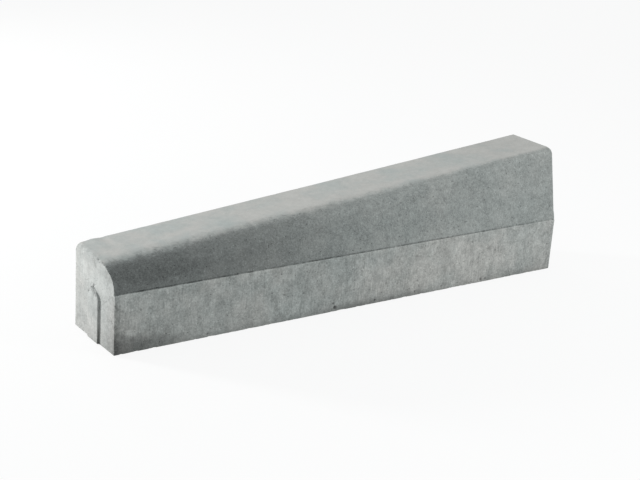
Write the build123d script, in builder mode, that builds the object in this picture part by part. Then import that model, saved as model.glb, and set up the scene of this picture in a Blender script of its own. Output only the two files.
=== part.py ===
from build123d import *
from math import acos, atan2, cos, sin
import os

os.makedirs("parts", exist_ok=True)

# A transition kerb stone, pressed from concrete in one piece. It joins a low kerb to a high one, so its
# top climbs along its length. Sizes are in millimetres. The origin is the centre of the bed face, +Z is
# up, +X points along the stone to its high end, and -Y is the front, which faces the road.

# Overall size
kerb_length = 1000.0
kerb_width = 150.0
low_end_height = 150.0
high_end_height = 250.0

# Front face: a plain upright foot, then a narrow ledge, then the shaped part that leans back
foot_height = 107.0
ledge_depth = 2.5
high_end_batter = 30.0

# The rounding from the front to the top has two radii, a tighter one in front and a wider one that runs out
# over the top. The reach is how far it goes over the top from the line of the front.
low_end_front_radius = 34.0
low_end_top_radius = 150.0
low_end_reach = 74.5
high_end_front_radius = 16.0
high_end_top_radius = 40.0
high_end_reach = 20.0

# Arrises, which are the edges between two faces
crown_rounding = 15.0
end_arris_rounding = 2.5
long_arris_rounding = 2.0

# Spacer: a raised pad with an arched head, which keeps the joint to the next stone open
spacer_width = 40.0
spacer_height = 100.0
spacer_thickness = 4.0
spacer_rim_rounding = 1.0

# The length of straight wall that is left beside a rounding
least_wall = 1.0

# How far a cut runs out past the stone, and how far above the top its rounding ends, to leave it cleanly
overrun = 20.0
run_out = 0.05

# Places that follow from the sizes
low_end = -kerb_length / 2
high_end = kerb_length / 2
front = -kerb_width / 2
ledge = front + ledge_depth


def front_cut(plane, top_height, batter, front_radius, top_radius, reach):
    """Section of what is cut away over the foot: in to the ledge, up the leaning face, round to the top."""
    height = top_height + run_out
    shaped_height = height - foot_height
    lean = atan2(shaped_height, batter)
    level = reach * sin(lean) + top_radius * cos(lean) - front_radius
    top_turn = lean - acos(level / (top_radius - front_radius))

    # Centres of the two arcs and where they meet, all measured from the corner of the front and the top
    outwards = Vector(-sin(top_turn), cos(top_turn))
    top_centre = Vector(reach, -top_radius)
    meeting = top_centre + outwards * top_radius
    front_centre = top_centre + outwards * (top_radius - front_radius)
    arc_start = front_centre + Vector(-sin(lean), cos(lean)) * front_radius

    # A face too low for the whole rounding gets a smaller one of the same shape
    shrink = min(1.0, (shaped_height - least_wall) / -arc_start.Y)
    corner = Vector(ledge + batter, height)
    arc_start = corner + arc_start * shrink
    meeting = corner + meeting * shrink
    arc_end = corner + Vector(reach * shrink, 0)
    with BuildSketch(plane) as section:
        with BuildLine():
            Polyline((front - overrun, foot_height), (ledge, foot_height), arc_start)
            front_arc = TangentArc(arc_start, meeting, tangent=(cos(lean), sin(lean)))
            TangentArc(meeting, arc_end, tangent=front_arc % 1)
            Polyline(
                arc_end,
                (arc_end.X, height + overrun),
                (front - overrun, height + overrun),
                (front - overrun, foot_height),
            )
        make_face()
    return section.sketch


with BuildPart() as kerb:
    # The side elevation gives the climbing top, the rounded crown of the low end and the bed's end arrises
    with BuildSketch(Plane.XZ):
        with BuildLine():
            Polyline(
                (low_end, 0),
                (low_end, low_end_height),
                (high_end, high_end_height),
                (high_end, 0),
                close=True,
            )
        make_face()
        bed_corners = vertices().group_by(Axis.Y)[0]
        fillet(bed_corners, end_arris_rounding)
        crown_corner = vertices().group_by(Axis.X)[0].sort_by(Axis.Y)[-1]
        fillet(crown_corner, crown_rounding)
    extrude(amount=kerb_width / 2, both=True)

    # The arrises all round the back and the front
    across = kerb.faces().sort_by(Axis.Y)
    fillet(across[0].edges() + across[-1].edges(), long_arris_rounding)

    # The front is cut back over the foot, from a wide rounding at the low end to a lean at the high end
    low_section = front_cut(
        Plane.YZ.offset(low_end),
        low_end_height,
        0,
        low_end_front_radius,
        low_end_top_radius,
        low_end_reach,
    )
    high_section = front_cut(
        Plane.YZ.offset(high_end),
        high_end_height,
        high_end_batter,
        high_end_front_radius,
        high_end_top_radius,
        high_end_reach,
    )
    loft([low_section, high_section], ruled=True, mode=Mode.SUBTRACT)

    # The spacer stands on the low end, reaches down to the bed and is rooted behind the bed's arris
    with BuildSketch(Plane.YZ.offset(low_end + end_arris_rounding)):
        arch_radius = spacer_width / 2
        arch_centre_height = spacer_height - arch_radius
        with Locations((0, arch_centre_height)):
            Circle(arch_radius)
        Rectangle(spacer_width, arch_centre_height, align=(Align.CENTER, Align.MIN))
    extrude(amount=-(end_arris_rounding + spacer_thickness))
    spacer_face = kerb.faces().sort_by(Axis.X)[0]
    fillet(spacer_face.edges(), spacer_rim_rounding)

kerb.part.label = "kerb_stone"
export_step(kerb.part, "parts/kerb_stone.step")
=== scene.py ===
import math

import bpy
import numpy as np
from mathutils import Matrix, Vector


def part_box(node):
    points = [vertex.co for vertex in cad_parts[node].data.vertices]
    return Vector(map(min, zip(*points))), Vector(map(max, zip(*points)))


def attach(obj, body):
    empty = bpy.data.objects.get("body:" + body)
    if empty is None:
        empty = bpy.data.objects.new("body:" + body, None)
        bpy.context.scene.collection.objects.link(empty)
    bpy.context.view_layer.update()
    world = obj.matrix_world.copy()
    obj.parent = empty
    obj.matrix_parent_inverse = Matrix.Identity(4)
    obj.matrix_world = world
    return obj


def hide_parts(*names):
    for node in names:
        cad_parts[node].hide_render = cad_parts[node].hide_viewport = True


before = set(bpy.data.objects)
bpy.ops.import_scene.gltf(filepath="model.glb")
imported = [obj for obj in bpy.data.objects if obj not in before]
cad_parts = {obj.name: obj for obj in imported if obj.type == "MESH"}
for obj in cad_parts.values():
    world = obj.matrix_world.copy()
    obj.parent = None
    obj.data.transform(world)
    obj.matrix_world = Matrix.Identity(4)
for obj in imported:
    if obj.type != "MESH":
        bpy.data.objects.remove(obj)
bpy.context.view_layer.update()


# The kerb stone: its moulded shape
# A transition kerb, cast in one piece from stiff damp concrete in a steel mould. A tamper head presses the
# sloping top and the leaning upper front, and the walls of the mould form the foot, the back and the ends.
mm = 0.001

lowest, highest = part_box("kerb_stone")
high_end = highest.x
low_end = -high_end
front = lowest.y
back = highest.y
spacer_tip = lowest.x
high_end_height = highest.z
low_end_height = 150 * mm
foot_height = 107 * mm
ledge_depth = 2.5 * mm
high_end_batter = 30 * mm
low_end_front_radius = 33 * mm
low_end_top_radius = 150 * mm
low_end_reach = 74.5 * mm
high_end_front_radius = 13 * mm
high_end_top_radius = 30 * mm
high_end_reach = 17 * mm
crown_rounding = 11 * mm
long_arris = 1.4 * mm
foot_arris = 0.8 * mm
ledge_root = 0.4 * mm
end_arris = 1.1 * mm
torn_strip = 1.5 * mm
spacer_width = 40 * mm
spacer_height = 98 * mm
spacer_rim = 1.8 * mm
spacer_foot = 0.5 * mm  # how far its wall ends above the bed

ledge = front + ledge_depth
slope = (high_end_height - low_end_height) / (high_end - low_end)


def heading(vector):
    """Angle of a flat vector, counter-clockwise from the first axis."""
    return math.atan2(vector[1], vector[0])


def outline(corners):
    """Closed outline through `corners`, each (place, radius, points in its arc, points on the side after it).
    An arc touches both sides at radius x tan(turn / 2) from its corner. The points of a side stand closer
    towards its corners. Gives the places, the outward normals and, for each point, its corner's number."""
    crowding = 0.6
    arcs = []
    normals = []
    for i, (place, radius, arc_points, side_points) in enumerate(corners):
        arriving = np.subtract(place, corners[i - 1][0])
        leaving = np.subtract(corners[(i + 1) % len(corners)][0], place)
        turn = (heading(leaving) - heading(arriving) + math.pi) % (2 * math.pi) - math.pi
        way = heading(arriving) + turn * np.linspace(0, 1, arc_points)
        normal = np.stack([np.sin(way), -np.cos(way)], axis=1)
        begin = place - arriving / np.linalg.norm(arriving) * radius * abs(math.tan(turn / 2))
        arcs.append(begin + math.copysign(radius, turn) * (normal - normal[0]))
        normals.append(np.concatenate([normal, np.repeat(normal[-1:], side_points, axis=0)]))
    places = []
    for i, (place, radius, arc_points, side_points) in enumerate(corners):
        share = np.linspace(0, 1, side_points + 2)[1:-1, None]
        share = share - crowding * np.sin(2 * np.pi * share) / (2 * np.pi)
        begin = arcs[i][-1]
        end = arcs[(i + 1) % len(corners)][0]
        places.append(np.concatenate([arcs[i], begin + (end - begin) * share]))
    belongs = np.repeat(np.arange(len(corners)), [len(span) for span in places])
    return np.concatenate(places), np.concatenate(normals), belongs


def rounding_corners(corner, lean, front_radius, top_radius, reach):
    """The two corners that the touching arcs of the big rounding round off. The wide arc starts on the top,
    `reach` behind `corner`. Where it has turned by lean - acos(..) the tight one takes over, which ends on
    the leaning front."""
    level = reach * math.sin(lean) + top_radius * math.cos(lean) - front_radius
    front_turn = math.acos(level / (top_radius - front_radius))
    top_turn = lean - front_turn
    top_cut = top_radius * math.tan(top_turn / 2)
    front_cut = front_radius * math.tan(front_turn / 2)
    upper = np.add(corner, (reach - top_cut, 0))
    lower = upper - np.multiply(top_cut + front_cut, (math.cos(top_turn), math.sin(top_turn)))
    return upper, lower


# The corners of the outline below. A point on the side after a corner belongs to that corner.
BED, SPACER_FOOT, BED_BACK, BACK, TOP, ROUNDED, SHAPED, TORN, LEDGE, FOOT = range(10)


def kerb_outline(height, batter, front_radius, top_radius, reach):
    """Outline across the stone, counter-clockwise from the bed's front arris: bed, back, top, shaped face,
    ledge and foot. The spacer's width and the torn strip over the ledge have points of their own. The two
    arcs of the big rounding stop a hair short of each other."""
    hair_short = 0.99
    lean = math.atan2(height - foot_height, batter)
    upper, lower = rounding_corners((ledge + batter, height), lean, front_radius, top_radius, reach)
    return outline([
        ((front, 0), long_arris, 4, 5),
        ((-spacer_width / 2, 0), 0, 1, 5),
        ((spacer_width / 2, 0), 0, 1, 5),
        ((back, 0), long_arris, 3, 26),
        ((back, height), long_arris, 3, 28),
        (upper, hair_short * top_radius, 16, 0),
        (lower, hair_short * front_radius, 18, 26),
        ((ledge + torn_strip / math.tan(lean), foot_height + torn_strip), 0, 1, 1),
        ((ledge, foot_height), ledge_root, 3, 2),
        ((front, foot_height), foot_arris, 4, 42),
    ])


low_outline, low_normals, side = kerb_outline(
    low_end_height, 0, low_end_front_radius, low_end_top_radius, low_end_reach
)
high_outline, high_normals, side = kerb_outline(
    high_end_height, high_end_batter, high_end_front_radius, high_end_top_radius, high_end_reach
)

# The crown of the low end: a circle that touches both the end face and the sloping top
crown_x = low_end + crown_rounding
crown_z = low_end_height + slope * crown_rounding - crown_rounding * math.hypot(1, slope)
crown_foot_x = crown_x - crown_rounding * math.sin(math.atan(slope))


def climb(x):
    """Height of the sloping top over the station x, without the crown."""
    return low_end_height + slope * (x - low_end)


def crown_drop(x):
    """How far the crown lies under the sloping top: the top's height less that of the crown's circle."""
    reach = np.clip(crown_x - x, 0, crown_rounding)
    return np.where(x < crown_foot_x, climb(x) - crown_z - np.sqrt(crown_rounding**2 - reach**2), 0)


def lower_of(a, b, blend):
    """The lower of two heights, eased into each other over the width `blend`."""
    overlap = np.maximum(blend - np.abs(a - b), 0)
    return np.minimum(a, b) - overlap**2 / (4 * np.maximum(blend, 1e-9))


# The top sinks wholly with the crown, and the back in proportion to its height
sinks = np.select([side == TOP, side == BACK], [1, low_outline[:, 1] / low_end_height], 0)

# The end arris is slighter beside the ledge, and at the low end on the shaped front too. The low end has none
# at the spacer's foot or on the crown.
beside_ledge = np.hypot(low_outline[:, 0] - front, low_outline[:, 1] - foot_height)
arris_share = 0.45 + 0.55 * np.clip(beside_ledge / (8 * mm) - 0.4, 0, 1)
height_at_end = low_outline[:, 1] - crown_drop(low_end) * sinks
under_crown = np.clip((height_at_end - crown_z) / (3 * mm) + 1, 0, 1)
at_spacer = (low_outline[:, 1] == 0) & (np.abs(low_outline[:, 0]) < spacer_width / 2 + 1 * mm)
low_arris_share = arris_share * (1 - under_crown) * ~at_spacer
low_arris_share = np.where((side == ROUNDED) | (side == SHAPED), 0.3 * low_arris_share, low_arris_share)

# Stations along the stone: round the low end's arris, over the crown, along, and round the high end's arris.
# Along the stone they stand closest at the low end.
quarter = np.linspace(math.pi / 2, 0, 5)
arris_x = end_arris * (1 - np.sin(quarter))
arris_inset = end_arris * (1 - np.cos(quarter))
crown_start = math.acos((crown_x - low_end - end_arris) / crown_rounding)
crown_turn = np.linspace(crown_start, math.pi / 2 - math.atan(slope), 9)[1:]
share = np.linspace(0, 1, 390)[1:]
share = (share + share**2 / 4) / 1.25
station_x = np.concatenate([
    low_end + arris_x,
    crown_x - crown_rounding * np.cos(crown_turn),
    crown_foot_x + (high_end - end_arris - crown_foot_x) * share,
    (high_end - arris_x)[::-1][1:],
])
low_inset = np.zeros_like(station_x)
low_inset[:len(quarter)] = arris_inset
high_inset = np.zeros_like(station_x)
high_inset[-len(quarter):] = arris_inset[::-1]


def carried_section():
    """The outline carried along the stone: straight lines join each point of the low end's outline to the
    same point of the high end's. The crown then lowers the top, and each end is drawn in by its arris."""
    along = ((station_x - low_end) / (high_end - low_end))[:, None, None]
    section = low_outline + (high_outline - low_outline) * along
    normal = low_normals + (high_normals - low_normals) * along
    drop = crown_drop(station_x)[:, None]
    top = climb(station_x)[:, None] - drop
    z = lower_of(section[..., 1] - drop * sinks, top, np.minimum(drop, 1 * mm))
    inset = low_inset[:, None] * low_arris_share + high_inset[:, None] * arris_share
    x = np.broadcast_to(station_x[:, None], z.shape)
    return np.stack([x, section[..., 0] - inset * normal[..., 0], z - inset * normal[..., 1]], axis=2)


def spacer_outline(rim, inset):
    """Points of the spacer's arched outline, less `inset`, on the rays from its middle to the points `rim`:
    where a ray meets the nearer of a side and the foot or, above the spring of the arch, its round head."""
    radius = spacer_width / 2 - inset
    spring = spacer_height - spacer_width / 2
    middle = np.array([0, spacer_height * 0.55])
    ray = rim - middle
    to_side = radius / np.maximum(np.abs(ray[:, 0]), 1e-9)
    to_foot = np.where(ray[:, 1] < 0, (spacer_foot + inset - middle[1]) / np.minimum(ray[:, 1], -1e-9), 1e9)
    rise = spring - middle[1]
    length = np.sum(ray**2, axis=1)
    root = np.sqrt(np.maximum((ray[:, 1] * rise) ** 2 - length * (rise**2 - radius**2), 0))
    to_head = (ray[:, 1] * rise + root) / length
    reach = np.where(middle[1] + to_side * ray[:, 1] > spring, to_head, np.minimum(to_side, to_foot))
    return middle + ray * reach[:, None]


def rings(x, loop, target=0, shares=(0,)):
    """Rings in the plane of an end, at x: `loop`, drawn by each of `shares` of its way to `target`."""
    flat = loop + (target - loop) * np.reshape(shares, (-1, 1, 1))
    return np.concatenate([np.full(flat.shape[:2] + (1,), x), flat], axis=2)


def stone_surface():
    """The whole skin as one grid of rings: the spacer's face and its wall, the low end round it, the carried
    section and the high end. The rings shrink to a small loop at the middle of each end. Gives the grid and
    the rows of the spacer, of the low end, of the carried section and of the high end."""
    skin = carried_section()
    low_rim = skin[0, :, 1:]
    high_rim = skin[-1, :, 1:]
    pad_middle = np.array([0, spacer_height * 0.45])
    high_middle = np.array([0, high_end_height * 0.46])
    pad_face = spacer_outline(low_rim, spacer_rim)
    pad = [rings(spacer_tip, pad_face, pad_middle, np.linspace(0.93, 0, 10)[:-1])]
    for turn in np.linspace(math.pi / 2, 0, 4):
        wall = spacer_outline(low_rim, spacer_rim * (1 - math.cos(turn)))
        pad.append(rings(spacer_tip + spacer_rim * (1 - math.sin(turn)), wall))
    low_face = rings(low_end, low_rim, spacer_outline(low_rim, 0), np.linspace(1, 0, 27)[:-1])
    high_face = rings(high_end, high_rim, high_middle, np.linspace(0, 0.94, 23)[1:])
    parts = [np.concatenate(pad), low_face, skin, high_face]
    ends = np.cumsum([len(part) for part in parts])
    rows = [slice(end - len(part), end) for part, end in zip(parts, ends)]
    return np.concatenate(parts), rows


def facing(surface):
    """Unit outward normals of the grid: the step round each ring crossed with the step from ring to ring."""
    step_round = np.roll(surface, -1, axis=1) - np.roll(surface, 1, axis=1)
    normal = np.cross(step_round, np.gradient(surface, axis=0))
    return normal / np.maximum(np.linalg.norm(normal, axis=2, keepdims=True), 1e-12)


# The kerb stone: what pressing, demoulding and handling left on it
# The damp concrete drags on the mould's walls as it slides out, tears a little under the tamper's rim, and
# loses crumbs from its arrises. Only the low end's swollen top, the high end's nib and the lip of the ledge
# stand more than 0.25 mm out of the moulded shape.
def lumps(places, size, seed):
    """Smooth random swelling and sinking from -1 to 1: random values on a lattice of spacing `size`, which
    may differ by axis, eased between neighbours by 3 f^2 - 2 f^3. The lattice repeats itself."""
    cells = 48
    table = np.random.default_rng(seed).uniform(-1, 1, (cells, cells, cells))
    cell = places / np.broadcast_to(size, 3)
    corner = np.floor(cell).astype(int)
    part = cell - corner
    part = part * part * (3 - 2 * part)
    total = np.zeros(places.shape[:-1])
    for step in np.ndindex(2, 2, 2):
        index = (corner + step) % cells
        weight = np.prod(np.where(step, part, 1 - part), axis=-1)
        total += weight * table[index[..., 0], index[..., 1], index[..., 2]]
    return total


def ease(value, start, end):
    """0 before `start`, 1 after `end`, and a smooth step between them."""
    share = np.clip((value - start) / (end - start), 0, 1)
    return share * share * (3 - 2 * share)


def gathered(surface, centre, reach, freedom):
    """The grid with its points drawn towards `centre`, over the distance `reach`, so that a small hollow
    there gets enough of them: each moves by 0.55 (1 - (d / reach)^2)^2 of its way, times its own freedom."""
    away = centre - surface
    near = np.clip(1 - np.sum(away**2, axis=2) / reach**2, 0, 1)
    return surface + away * (0.55 * near**2 * freedom)[..., None]


def hollow_depth(surface, centre, width, depth, seed):
    """Depth of a hollow of uneven outline: depth (1 - (d / r)^2)^1.5, where r is half the width, give or take
    up to 0.28 of it."""
    away = np.linalg.norm(surface - centre, axis=2)
    radius = width / 2 * (1 + 0.28 * lumps(surface, width / 2, seed))
    return depth * np.clip(1 - (away / radius) ** 2, 0, 1) ** 1.5


# Chips along the bed's front arris: place along the stone, height, width, depth
bed_chips = [
    (-0.318, 0.006, 0.006, 0.0012),
    (-0.047, 0.009, 0.009, 0.0026),
    (-0.050, 0.016, 0.006, 0.0020),
    (0.048, 0.007, 0.005, 0.0006),
    (0.144, 0.008, 0.006, 0.0006),
    (0.209, 0.008, 0.005, 0.0007),
    (0.313, 0.006, 0.009, 0.0014),
    (0.324, 0.006, 0.006, 0.0011),
]
# Air holes in the foot, which show best: place along the stone, height, width
foot_holes = [
    (-0.116, 0.060, 0.0050),
    (-0.120, 0.049, 0.0060),
    (0.070, 0.036, 0.0034),
    (0.142, 0.082, 0.0040),
    (0.211, 0.085, 0.0042),
    (0.280, 0.090, 0.0046),
    (0.309, 0.064, 0.0036),
    (-0.005, 0.036, 0.0036),
]
# Crumbled spots on the low end, round the spacer's head and at the front of the crown: place, height, width
end_pits = [
    (-0.011, 0.087, 0.0042),
    (-0.006, 0.0905, 0.0052),
    (0.000, 0.0925, 0.0054),
    (0.004, 0.0965, 0.0050),
    (0.008, 0.093, 0.0054),
    (0.012, 0.090, 0.0044),
    (0.003, 0.101, 0.0040),
    (0.011, 0.101, 0.0034),
    (0.019, 0.0855, 0.0048),
    (0.023, 0.082, 0.0040),
    (-0.021, 0.154, 0.0050),
    (-0.015, 0.147, 0.0046),
    (-0.030, 0.148, 0.0036),
    (-0.009, 0.151, 0.0036),
]
# The depths of the holes and of the spots, as shares of their widths
foot_hole_depth = 0.45
end_pit_depth = 0.35
# Small holes in the foot and the back, at random places
scattered_holes = 80
rng = np.random.default_rng(41)

surface, (pad_rows, low_rows, skin_rows, high_rows) = stone_surface()

# The head of the spacer crumbled, so there it runs out into the end face
pad = surface[pad_rows]
head = ease(pad[..., 2] + 4 * mm * lumps(pad, 7 * mm, 31), 86 * mm, 99 * mm)
surface[pad_rows, :, 0] = low_end + (pad[..., 0] - low_end) * (1 - 0.85 * head)

hollows = [((x, front, z), width, depth) for x, z, width, depth in bed_chips]
hollows += [((x, front, z), width, width * foot_hole_depth) for x, z, width in foot_holes]
hollows += [((low_end, y, z), width, width * end_pit_depth) for y, z, width in end_pits]
for _ in range(scattered_holes):
    width = rng.uniform(2.6, 4.4) * mm
    wall = rng.choice([front, back], p=[0.45, 0.55])
    z = rng.uniform(0.06, 0.95) * (foot_height if wall == front else low_end_height)
    hollows.append(((rng.uniform(low_end, high_end) * 0.98, wall, z), width, width * rng.uniform(0.25, 0.5)))

# How far each point is from the nearest arris. The crown is round, so the low end has none there, and the
# points of the spacer count as far away.
far_away = 1.0
x, y, z = np.moveaxis(surface, 2, 0)
arrises = [(front, 0), (back, 0), (front, foot_height)]
to_arris = np.minimum.reduce([np.hypot(y - a, z - b) for a, b in arrises])
to_arris = np.minimum(to_arris, np.hypot(y - back, z - climb(x) + crown_drop(x)))
to_rim = np.minimum(x - low_end, high_end - x)
to_rim[pad_rows] = far_away
to_rim[low_rows] = np.linalg.norm(surface[low_rows] - surface[skin_rows.start], axis=2)
to_rim[high_rows] = np.linalg.norm(surface[high_rows] - surface[skin_rows.stop - 1], axis=2)
round_crown = (under_crown > 0.5) & (side != BACK)
to_rim += 20 * mm * round_crown * (x < 0)
to_arris = np.minimum(to_arris, to_rim)

# The points of an arris stay where they are, so that it stays straight
freedom = ease(to_arris, 1 * mm, 4 * mm)

# Each hollow is centred on the point of the skin that is nearest to its place
centres = []
for place, width, depth in hollows:
    nearest = np.argmin(np.sum((surface - place) ** 2, axis=2))
    centre = surface.reshape(-1, 3)[nearest].copy()
    surface = gathered(surface, centre, width * 1.5 + 6 * mm, freedom)
    centres.append(centre)

normal = facing(surface)
x, y, z = np.moveaxis(surface, 2, 0)
# How much darker each point is in a hollow: partly dirt, partly painted shade in pits, chips and the crease
hollow_shade_and_dirt = np.zeros(x.shape)
sunk = np.zeros(x.shape)
for number, (centre, (place, width, depth)) in enumerate(zip(centres, hollows)):
    bowl = hollow_depth(surface, centre, width, depth, 500 + number)
    sunk = np.maximum(sunk, bowl)
    hollow_shade_and_dirt = np.maximum(hollow_shade_and_dirt, np.clip(bowl / depth * 1.3, 0, 1))

# The tamper pressed the front above the ledge, up to a border that wanders. Its mark, and so its darkening,
# is strongest at the low end and fades towards the high end. The walls of the mould dragged on the foot, the
# back and the ends.
along = (x - low_end) / (high_end - low_end)
above_ledge = ease(z, foot_height + 0.2 * mm, foot_height + 1.4 * mm)
wander = 0.015 * lumps(surface, 70 * mm, 7) + 0.035 * lumps(surface, 12 * mm, 8)
wander = wander + 0.03 * lumps(surface, 5 * mm, 10) + 0.03 * ease(along, 0.06, 0.25)
leaning = above_ledge * ease(-normal[..., 1] + wander, 0.03, 0.36)
topside = above_ledge * ease(normal[..., 2], 0.80, 0.97) * (1 - leaning)
walls = (1 - leaning) * (1 - topside) * ease(-np.abs(normal[..., 2]), -0.8, -0.4)
pressed = leaning * (0.96 - 0.05 * ease(along, 0.04, 0.12) - 0.40 * ease(along, 0.08, 0.62) - 0.16 * along)

# The foot of the front is darker towards the bed, most of all at the low end
bed_darkening_height = (16 + 7 * lumps(surface, 30 * mm, 5) + 4 * lumps(surface, 9 * mm, 6)) * mm
at_low_end = 1 - ease(x, low_end + 20 * mm, low_end + 200 * mm)
bed_darkening_height = bed_darkening_height * (1 + 1.9 * at_low_end)
bed_darkening_strength = (0.55 + 0.35 * lumps(surface, 120 * mm, 9)) * (1 - at_low_end) + at_low_end
bed_darkening = bed_darkening_strength * (1 - ease(z / bed_darkening_height, 0.1, 1.3)) * ease(-normal[..., 1], 0.5, 0.9)

# How far the skin lies inwards, in millimetres until the hollows are added: a little uneven, ribbed where a
# wall dragged on it, and crumbled along its arrises
arris_nearness = np.exp(-((to_arris / (3.0 * mm)) ** 2))
crumbs = ease(lumps(surface, 9 * mm, 11) + 0.5 * lumps(surface, 4 * mm, 12), 0.1, 1.2)
inward = 0.12 + 0.12 * lumps(surface, 85 * mm, 1) + 0.09 * lumps(surface, 24 * mm, 2)
inward = inward + walls * 0.07 * lumps(surface, (7 * mm, 7 * mm, 45 * mm), 3)
inward = inward + walls * 0.05 * lumps(surface, 6 * mm, 4)
inward = inward + arris_nearness * (0.9 - 0.65 * ease(z, 4 * mm, 9 * mm)) * crumbs
inward = inward * mm + sunk

# The groove that the tamper's rim tore along the ledge, deeper in some places, the crumbly lip in front of
# it, and a dark line painted in its crease, partly dirt and partly painted shade
tear = 0.5 + 0.5 * lumps(surface, (14 * mm, 1, 1), 21) + 0.35 * lumps(surface, (4.5 * mm, 1, 1), 22)
in_groove = np.exp(-(((y - ledge) / (0.9 * mm)) ** 2) - (((z - foot_height) / (0.8 * mm)) ** 2))
lip = np.exp(-(((y - front) / (0.8 * mm)) ** 2) - (((z - foot_height) / (0.9 * mm)) ** 2))
on_skin = np.zeros(x.shape)
on_skin[skin_rows] = 1
groove = in_groove * on_skin * (0.8 + 0.9 * np.clip(tear, 0, 1.3)) * mm
burr = lip * on_skin * (0.15 + 0.5 * np.clip(tear, 0, 1)) * mm
in_crease = ease(y, front + 1.2 * mm, ledge) * np.exp(-(((z - foot_height - 0.5 * mm) / (1.5 * mm)) ** 2))
crease_shade_and_dirt = 0.40 + 0.60 * tear + 0.30 * ease(along, 0.30, 0.45) * (1 - 0.7 * ease(along, 0.70, 0.90))
crease_shade_and_dirt = np.clip(in_crease * crease_shade_and_dirt * ease(x, low_end - 10 * mm, low_end + 60 * mm), 0, 1)
hollow_shade_and_dirt = np.maximum(hollow_shade_and_dirt, crease_shade_and_dirt * on_skin)

# The low end's top swelled behind its crown and sank again, most of all at the back. Sizes in millimetres.
behind = (x - low_end) / mm
swell = 1.3 * np.exp(-(((behind - 30) / 9) ** 2)) - 0.5 * np.exp(-(((behind - 49) / 6) ** 2))
swell = swell + 0.4 * np.exp(-(((behind - 58) / 5) ** 2))
swell = swell * ease(y, 0, back)
swell = swell + 0.6 * np.exp(-behind / 60) + 1.6 * np.exp(-((behind / 400) ** 2))
swell = swell * ease(normal[..., 2], 0.1, 0.7) * ease(y, front, back) * mm

# At the high end the shaped front flares into a small nib over the ledge
nib = 1.6 * ease(x, high_end - 14 * mm, high_end) * ease(-np.abs(z - 114 * mm), -12 * mm, -4 * mm) * mm
nib = nib * above_ledge * (y < 0)

surface = surface - normal * inward[..., None]
surface[..., 2] += swell + burr - groove
surface[..., 1] -= nib
surface[..., 0] = np.clip(surface[..., 0], spacer_tip, high_end)
surface[..., 1] = np.clip(surface[..., 1], front, back)
surface[..., 2] = np.clip(surface[..., 2], 0, high_end_height)

# Spots of another tone: centre, half the size along each axis, and how much paler, or darker where below 0.
# Most are stains, scuffs and crumbs; those marked below are painted light and painted shade.
tone_and_painted_light_spots = [
    ((-0.469, front, 0.036), (0.013, 0.01, 0.009), 0.30),
    ((-0.381, front, 0.026), (0.010, 0.01, 0.007), 0.14),
    ((-0.402, front, 0.102), (0.004, 0.01, 0.004), 0.20),
    ((-0.500, front, 0.060), (0.024, 0.01, 0.120), -0.14),
    ((-0.480, front, 0.000), (0.040, 0.01, 0.026), -0.14),
    ((0.060, front, 0.040), (0.008, 0.01, 0.006), 0.16),
    ((-0.384, front, 0.121), (0.010, 0.01, 0.006), 0.34),
    ((-0.377, front, 0.131), (0.006, 0.01, 0.004), 0.22),
    ((-0.407, front, 0.127), (0.009, 0.01, 0.005), 0.16),
    ((0.230, -0.044, 0.228), (0.010, 0.01, 0.006), 0.14),
    # painted light: the upper back of the low end's face, paler as if lit more
    ((low_end, 0.045, 0.124), (0.01, 0.016, 0.014), 0.10),
    ((low_end, -0.047, 0.124), (0.01, 0.008, 0.018), -0.08),
    ((low_end, 0.039, 0.032), (0.01, 0.011, 0.011), -0.09),
    ((low_end, 0.062, 0.030), (0.01, 0.012, 0.026), -0.09),
    ((low_end, 0.011, 0.031), (0.01, 0.008, 0.009), 0.08),
    # painted shade: the bottom of the low end's face towards the front
    ((low_end, -0.075, 0.000), (0.01, 0.080, 0.070), -0.16),
    ((low_end + 0.004, 0.002, 0.142), (0.012, 0.013, 0.014), -0.17),
    ((low_end, 0.022, 0.120), (0.01, 0.012, 0.009), -0.10),
    ((low_end + 0.005, -0.023, 0.151), (0.007, 0.010, 0.006), -0.22),
    ((low_end + 0.003, -0.036, 0.148), (0.006, 0.008, 0.006), -0.22),
    ((low_end, -0.012, 0.0885), (0.01, 0.007, 0.005), -0.20),
    ((low_end, -0.003, 0.0915), (0.01, 0.011, 0.005), -0.24),
    ((low_end, 0.006, 0.095), (0.01, 0.010, 0.007), -0.22),
    ((low_end, 0.003, 0.101), (0.01, 0.005, 0.004), -0.14),
    ((low_end, 0.020, 0.084), (0.01, 0.007, 0.006), -0.14),
    ((-0.350, front, 0.116), (0.060, 0.01, 0.012), 0.12),
    ((low_end + 0.004, 0.035, 0.150), (0.012, 0.065, 0.014), -0.08),
    # painted light across the upper part of the low end's face
    ((low_end, 0.000, 0.112), (0.01, 0.110, 0.028), 0.15),
    # painted shade along the bottom of the low end's face
    ((low_end, 0.030, 0.000), (0.01, 0.120, 0.030), -0.12),
    ((0.270, front, 0.070), (0.260, 0.01, 0.075), 0.10),
    # painted shade on the big rounding near the low end
    ((-0.45, -0.060, 0.138), (0.16, 0.035, 0.024), -0.22),
    # painted shade low down on the front part of the low end's face
    ((low_end, -0.069, 0.035), (0.01, 0.026, 0.095), -0.17),
]
tone_and_painted_light = np.zeros(x.shape)
for number, (centre, half_size, amount) in enumerate(tone_and_painted_light_spots):
    away = np.linalg.norm((surface - centre) / half_size, axis=2)
    tone_and_painted_light += amount * ease(away + 0.35 * lumps(surface, 5 * mm, 60 + number), 1.1, 0.3)

# Painted light: the ends and most of the top are a little paler, as if lit more, and most of all the low
# end's rim above the spacer
ends = np.abs(normal[..., 0])
tone_and_painted_light += 0.05 * ends + topside * (0.03 - 0.04 * ease(along, 0.70, 0.95))
tone_and_painted_light += 0.06 * ends * np.exp(-((to_rim / (5 * mm)) ** 2)) * ease(z, 95 * mm, 115 * mm) * (x < 0)

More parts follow.
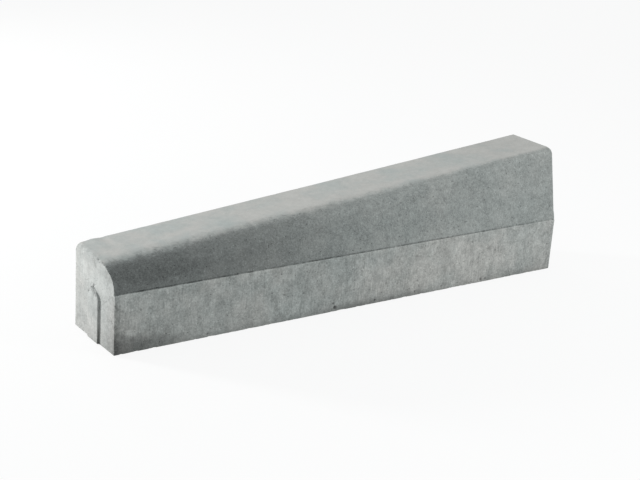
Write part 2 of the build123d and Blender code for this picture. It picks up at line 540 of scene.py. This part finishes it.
# The tamper's edge tore small dark specks where the front rounds into the top, most of them near the low end
torn = ease(lumps(surface, 5 * mm, 13) + 0.5 * lumps(surface, 11 * mm, 14), 0.3, 0.9)
torn = 4 * leaning * (1 - leaning) * torn
tone_and_painted_light -= 0.30 * torn * (1 - 0.7 * ease(along, 0.4, 0.7))

# How warm the cement is, how little its grain shows, and how far its patches stain it
at_back = ease(normal[..., 1], 0.5, 0.9)
warmth = 0.50 * topside + 0.12 * ends + 0.30 * walls * ease(along, 0.45, 0.75) - 0.40 * pressed
smooth = np.maximum(topside, 0.5 * ends + 0.3 * at_back)
stain = 0.65 + 0.80 * topside - 0.30 * leaning - 0.20 * ends - 0.15 * at_back

marks = {
    "tone_and_painted_light": tone_and_painted_light,
    "pressed": pressed,
    "smooth": smooth,
    "warmth": warmth,
    "bed_darkening": bed_darkening,
    "stain": stain,
    "drag": walls * (1 - 0.85 * ends),
    "hollow_shade_and_dirt": hollow_shade_and_dirt,
    # paler arrises: partly rubbed pale, partly a painted highlight
    "arris": arris_nearness * (0.35 + 0.65 * crumbs),
}


def closed_mesh(name, grid, marks):
    """A mesh of the grid of rings: a four-sided face between each two neighbours of two rings, and one flat
    face over the first ring and over the last. Each of `marks` becomes an attribute of the points."""
    ring_count, around = grid.shape[:2]
    index = np.arange(ring_count * around).reshape(ring_count, around)
    beside = np.roll(index, -1, axis=1)
    quads = np.stack([index[:-1], beside[:-1], beside[1:], index[1:]], axis=2).reshape(-1, 4)
    faces = quads.tolist() + [index[0, ::-1].tolist(), index[-1].tolist()]
    mesh = bpy.data.meshes.new(name)
    mesh.from_pydata(grid.reshape(-1, 3), [], faces)
    mesh.shade_smooth()
    for mark, values in marks.items():
        attribute = mesh.attributes.new(mark, "FLOAT", "POINT")
        attribute.data.foreach_set("value", values.ravel().astype(np.float32))
    return mesh


stone = bpy.data.objects.new("kerb_concrete", closed_mesh("kerb_concrete", surface, marks))
bpy.context.scene.collection.objects.link(stone)


# The kerb stone: its concrete
# Cool grey cement with pale and dark sand in it. Where a mould wall slid off it is streaked upright, where
# the tamper pressed it is closer and darker, its arrises are paler, partly rubbed and partly painted
# highlight, and its hollows are darker, partly with dirt and partly with painted shade. Some spots of
# another tone are painted light and shade.
cool_cement = (0.427, 0.453, 0.442, 1)
warm_cement = (0.459, 0.452, 0.434, 1)


def put(tree, kind, sockets, **settings):
    """Puts a node into a tree. `sockets` gives its inputs by name or number, each a plain value or the
    output of another node, which is linked."""
    made = tree.nodes.new(kind)
    for name, value in settings.items():
        setattr(made, name, value)
    for name, value in sockets.items():
        if isinstance(value, bpy.types.NodeSocket):
            tree.links.new(value, made.inputs[name])
        else:
            made.inputs[name].default_value = value
    return made


def reckon(tree, operation, *values):
    """The result of a Math node on up to three values."""
    return put(tree, "ShaderNodeMath", dict(enumerate(values)), operation=operation).outputs[0]


def mixed(tree, share, first, second):
    """A colour that is `share` of the way from the first colour to the second."""
    return put(tree, "ShaderNodeMix", {0: share, 6: first, 7: second}, data_type="RGBA").outputs[2]


def stretched(tree, value, low, high, to_low, to_high):
    """A value carried smoothly from one range to another and held at its ends."""
    sockets = {0: value, 1: low, 2: high, 3: to_low, 4: to_high}
    return put(tree, "ShaderNodeMapRange", sockets, interpolation_type="SMOOTHSTEP").outputs[0]


def summed(tree, start, effects):
    """`start` plus each effect's value times its amount. `effects` is a list of (value, amount)."""
    total = start
    for value, amount in effects:
        total = reckon(tree, "MULTIPLY_ADD", value, amount, total)
    return total


def new_group(name, numbers, result):
    """An empty shader group that takes a Vector and the named numbers and gives one number. Returns its tree
    and the sockets of its input node."""
    tree = bpy.data.node_groups.new(name, "ShaderNodeTree")
    tree.interface.new_socket("Vector", in_out="INPUT", socket_type="NodeSocketVector")
    for number in numbers:
        tree.interface.new_socket(number, in_out="INPUT", socket_type="NodeSocketFloat")
    tree.interface.new_socket(result, in_out="OUTPUT", socket_type="NodeSocketFloat")
    return tree, tree.nodes.new("NodeGroupInput").outputs


def giving(tree, value):
    """The group, with a value linked to its output."""
    put(tree, "NodeGroupOutput", {0: value})
    return tree


def make_sand_grain():
    """Close, even noise, from -1 to 1. Size is the size of a grain in metres."""
    tree, given = new_group("Sand grain", ["Size"], "Shade")
    scale = reckon(tree, "DIVIDE", 1.0, given["Size"])
    sockets = {"Vector": given["Vector"], "Scale": scale, "Detail": 2.0, "Roughness": 0.6}
    noise = put(tree, "ShaderNodeTexNoise", sockets).outputs["Fac"]
    return giving(tree, stretched(tree, noise, 0.25, 0.75, -1.0, 1.0))


def make_drag_marks():
    """Upright streaks, from -1 to 1: noise drawn out along Z. Width and Length are in metres."""
    tree, given = new_group("Drag marks", ["Width", "Length"], "Shade")
    across = reckon(tree, "DIVIDE", 1.0, given["Width"])
    upright = reckon(tree, "DIVIDE", 1.0, given["Length"])
    scale = put(tree, "ShaderNodeCombineXYZ", {0: across, 1: across, 2: upright}).outputs[0]
    sockets = {0: given["Vector"], 1: scale}
    place = put(tree, "ShaderNodeVectorMath", sockets, operation="MULTIPLY").outputs[0]
    sockets = {"Vector": place, "Scale": 1.0, "Detail": 2.5, "Roughness": 0.55, "Distortion": 0.25}
    noise = put(tree, "ShaderNodeTexNoise", sockets).outputs["Fac"]
    return giving(tree, stretched(tree, noise, 0.28, 0.72, -1.0, 1.0))


def make_specks():
    """Round specks in some of the cells of a Voronoi pattern. Size is the size of a cell in metres, Share is
    the part of the cells that hold one, and Width is the speck's radius in cells."""
    tree, given = new_group("Specks", ["Size", "Share", "Width"], "Mask")
    scale = reckon(tree, "DIVIDE", 1.0, given["Size"])
    cell = put(tree, "ShaderNodeTexVoronoi", {"Vector": given["Vector"], "Scale": scale}).outputs
    chance = put(tree, "ShaderNodeSeparateXYZ", {0: cell["Color"]}).outputs[0]
    chosen = reckon(tree, "LESS_THAN", chance, given["Share"])
    inner = reckon(tree, "MULTIPLY", given["Width"], 0.5)
    sockets = {0: cell["Distance"], 1: inner, 2: given["Width"], 3: 1.0, 4: 0.0}
    body = put(tree, "ShaderNodeMapRange", sockets).outputs[0]
    return giving(tree, reckon(tree, "MULTIPLY", chosen, body))


def make_mottling():
    """Soft uneven patches, from -1 to 1. Size is the size of a patch in metres. Shift moves the pattern."""
    tree, given = new_group("Mottling", ["Size", "Shift"], "Shade")
    scale = reckon(tree, "DIVIDE", 1.0, given["Size"])
    sockets = {0: given["Vector"], 1: given["Shift"]}
    place = put(tree, "ShaderNodeVectorMath", sockets, operation="ADD").outputs[0]
    sockets = {"Vector": place, "Scale": scale, "Detail": 4.0, "Roughness": 0.55}
    noise = put(tree, "ShaderNodeTexNoise", sockets).outputs["Fac"]
    return giving(tree, stretched(tree, noise, 0.3, 0.7, -1.0, 1.0))


def placed(tree, group, **sockets):
    """The first output of a group placed in a material with its own values."""
    return put(tree, "ShaderNodeGroup", sockets, node_tree=group).outputs[0]


def mark(tree, name):
    """One of the marks that the skin carries, by its name."""
    return put(tree, "ShaderNodeAttribute", {}, attribute_name=name).outputs["Fac"]


def concrete():
    """The stone's one material. Each effect is a number from about -1 to 1. Times its amount it is added to
    1, and the sum shades the cement."""
    grain_group = make_sand_grain()
    drag_group = make_drag_marks()
    speck_group = make_specks()
    mottling_group = make_mottling()
    material = bpy.data.materials.new("pressed concrete")
    material.use_nodes = True
    tree = material.node_tree
    shader = tree.nodes["Principled BSDF"]
    place = put(tree, "ShaderNodeTexCoord", {}).outputs["Object"]
    pressed = mark(tree, "pressed")
    smooth = mark(tree, "smooth")
    drag = mark(tree, "drag")

    clouds = placed(tree, mottling_group, Vector=place, Size=0.11, Shift=0.0)
    patches = placed(tree, mottling_group, Vector=place, Size=0.028, Shift=3.0)
    blots = placed(tree, mottling_group, Vector=place, Size=0.011, Shift=7.0)
    gusts = placed(tree, mottling_group, Vector=place, Size=0.045, Shift=11.0)
    coarse = placed(tree, grain_group, Vector=place, Size=0.0042)
    fine = placed(tree, grain_group, Vector=place, Size=0.0020)
    streaks = placed(tree, drag_group, Vector=place, Width=0.0036, Length=0.020)
    smears = placed(tree, drag_group, Vector=place, Width=0.013, Length=0.034)
    pale_sand = placed(tree, speck_group, Vector=place, Size=0.0052, Share=0.20, Width=0.32)
    dark_sand = placed(tree, speck_group, Vector=place, Size=0.0061, Share=0.16, Width=0.26)

    # Streaks show only where a wall slid off, and come in gusts. Grain shows less on the smooth top and ends.
    in_places = stretched(tree, gusts, -0.4, 0.8, 0.25, 1.3)
    streaks = reckon(tree, "MULTIPLY", reckon(tree, "MULTIPLY", streaks, drag), in_places)
    smears = reckon(tree, "MULTIPLY", smears, drag)
    grain_share = stretched(tree, smooth, 0.0, 1.0, 1.05, 0.25)
    grain_share = reckon(tree, "MULTIPLY_ADD", pressed, 0.35, grain_share)
    coarse = reckon(tree, "MULTIPLY", coarse, grain_share)
    fine = reckon(tree, "MULTIPLY", fine, grain_share)
    pale_sand = reckon(tree, "MULTIPLY", pale_sand, grain_share)
    dark_sand = reckon(tree, "MULTIPLY", dark_sand, grain_share)
    patches_share = stretched(tree, smooth, 0.0, 1.0, 1.0, 0.30)
    patches_share = reckon(tree, "MULTIPLY_ADD", pressed, -0.45, patches_share)
    shade = summed(tree, 1.0, [
        (clouds, 0.05),
        (reckon(tree, "MULTIPLY", patches, patches_share), 0.10),
        (reckon(tree, "MULTIPLY", blots, patches_share), 0.11),
        (coarse, 0.12),
        (fine, 0.14),
        (streaks, 0.10),
        (smears, 0.08),
        (pale_sand, 0.26),
        (dark_sand, -0.30),
        (mark(tree, "tone_and_painted_light"), 1.0),
    ])

    # Pressing darkens all of it, and so does the darkening towards the bed. Arrises are paler, partly rubbed
    # and partly painted highlight, and hollows are darker, partly with dirt and partly with painted shade
    shade = reckon(tree, "MULTIPLY", shade, stretched(tree, pressed, 0.0, 1.0, 1.0, 0.385))
    shade = reckon(tree, "MULTIPLY", shade, stretched(tree, mark(tree, "bed_darkening"), 0.0, 1.0, 1.0, 0.45))
    shade = summed(tree, shade, [(mark(tree, "arris"), 0.14), (mark(tree, "hollow_shade_and_dirt"), -0.45)])

    stains = reckon(tree, "MULTIPLY_ADD", patches, 0.30, clouds)
    stains = reckon(tree, "MULTIPLY", stains, mark(tree, "stain"))
    warmth = reckon(tree, "ADD", mark(tree, "warmth"), 0.45)
    warmth = reckon(tree, "MULTIPLY_ADD", stains, 0.55, warmth)
    cement = mixed(tree, warmth, cool_cement, warm_cement)
    colour = put(tree, "ShaderNodeVectorMath", {0: cement, "Scale": shade}, operation="SCALE").outputs[0]
    tree.links.new(colour, shader.inputs["Base Color"])

    roughness = reckon(tree, "MULTIPLY_ADD", pressed, -0.08, 0.90)
    tree.links.new(roughness, shader.inputs["Roughness"])

    relief = [(coarse, 0.10 * mm), (fine, 0.06 * mm), (streaks, 0.10 * mm), (dark_sand, -0.5 * mm)]
    height = summed(tree, 0.0, relief)
    bump = put(tree, "ShaderNodeBump", {"Height": height, "Strength": 1.0, "Distance": 1.0}).outputs[0]
    tree.links.new(bump, shader.inputs["Normal"])
    return material


stone.data.materials.append(concrete())
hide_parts("kerb_stone")
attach(stone, "root")


# The floor
# A plain pale studio floor. The camera sees it as nearly white, with a faint shadow under the stone, while
# it throws back at the stone only as much light as a grey floor does.
floor_half_width = 8.0
floor_gap = 0.2 * mm
grey_paint = (0.30, 0.30, 0.30, 1)
white_paint = (0.9, 0.9, 0.9, 1)
glow_share = 0.88

corners = [(-1, -1), (1, -1), (1, 1), (-1, 1)]
floor_corners = [(a * floor_half_width, b * floor_half_width, -floor_gap) for a, b in corners]
floor_mesh = bpy.data.meshes.new("floor")
floor_mesh.from_pydata(floor_corners, [], [(0, 1, 2, 3)])
floor = bpy.data.objects.new("floor", floor_mesh)
bpy.context.scene.collection.objects.link(floor)


def seen_directly(tree):
    """1 for what the camera sees, also in a reflection or through glass, and 0 for what lights the stone."""
    ray = put(tree, "ShaderNodeLightPath", {}).outputs
    beyond = reckon(tree, "MAXIMUM", ray["Is Glossy Ray"], ray["Is Transmission Ray"])
    return reckon(tree, "MAXIMUM", ray["Is Camera Ray"], beyond)


floor_paint = bpy.data.materials.new("floor paint")
floor_paint.use_nodes = True
tree = floor_paint.node_tree
tree.nodes.clear()
grey = put(tree, "ShaderNodeBsdfDiffuse", {"Color": grey_paint}).outputs[0]
white = put(tree, "ShaderNodeBsdfDiffuse", {"Color": white_paint}).outputs[0]
glow = put(tree, "ShaderNodeEmission", {"Color": (1, 1, 1, 1), "Strength": 1.0}).outputs[0]
shown = put(tree, "ShaderNodeMixShader", {0: glow_share, 1: white, 2: glow}).outputs[0]
floor_surface = put(tree, "ShaderNodeMixShader", {0: seen_directly(tree), 1: grey, 2: shown}).outputs[0]
put(tree, "ShaderNodeOutputMaterial", {"Surface": floor_surface})
floor_mesh.materials.append(floor_paint)


# The light
# Two soft lamps stand low behind the stone. The one at the low end's side lights that end, and both graze
# the top. A lamp in front of the high end fills the shaded front, more and more towards that end. A dim room
# lights all sides alike, and the camera sees it as white.
plain_white = (1.0, 1.0, 1.0)
cool_white = (0.955, 1.0, 1.0)
room_strength = 0.58


def lamp(name, place, aim, size, power, colour):
    """A square area lamp at `place` that faces `aim`."""
    light = bpy.data.lights.new(name, "AREA")
    light.size = size
    light.energy = power
    light.color = colour
    holder = bpy.data.objects.new(name, light)
    way = Vector(aim) - Vector(place)
    holder.matrix_world = Matrix.Translation(place) @ way.to_track_quat("-Z", "Y").to_matrix().to_4x4()
    bpy.context.scene.collection.objects.link(holder)


lamp("key lamp", (-1.94, 1.94, 0.69), (0.0, 0.0, 0.1), 0.4, 73.0, plain_white)
lamp("back lamp", (0.00, 2.60, 1.15), (0.0, 0.0, 0.1), 0.4, 8.6, plain_white)
lamp("front fill", (1.14, -1.63, 0.78), (0.2, 0.0, 0.1), 0.8, 13.2, cool_white)

world = bpy.data.worlds.new("studio")
bpy.context.scene.world = world
world.use_nodes = True
tree = world.node_tree
tree.nodes.clear()
room = put(tree, "ShaderNodeBackground", {"Color": (*cool_white, 1), "Strength": room_strength}).outputs[0]
backdrop = put(tree, "ShaderNodeBackground", {"Color": (*plain_white, 1), "Strength": 1.0}).outputs[0]
sky = put(tree, "ShaderNodeMixShader", {0: seen_directly(tree), 1: room, 2: backdrop}).outputs[0]
put(tree, "ShaderNodeOutputWorld", {"Surface": sky})


# The camera
# It looks down at the low end and along the front, from the place that fits the stone's corners and sides.
image_width = 640
sensor_width = 36.0
focal_pixels = 1372.42
focal_length = focal_pixels * sensor_width / image_width
camera_place = (-1.46926, -1.96356, 0.95873)
camera_bearing = 0.940425
camera_dip = 0.334026
camera_roll = 0.070781

camera_data = bpy.data.cameras.new("camera")
camera_data.sensor_width = sensor_width
camera_data.lens = focal_length
camera = bpy.data.objects.new("camera", camera_data)
camera.matrix_world = (
    Matrix.Translation(camera_place)
    @ Matrix.Rotation(camera_bearing - math.pi / 2, 4, "Z")
    @ Matrix.Rotation(math.pi / 2 - camera_dip, 4, "X")
    @ Matrix.Rotation(camera_roll, 4, "Z")
)
bpy.context.scene.collection.objects.link(camera)
bpy.context.scene.camera = camera
bpy.context.scene.view_settings.view_transform = "Standard"
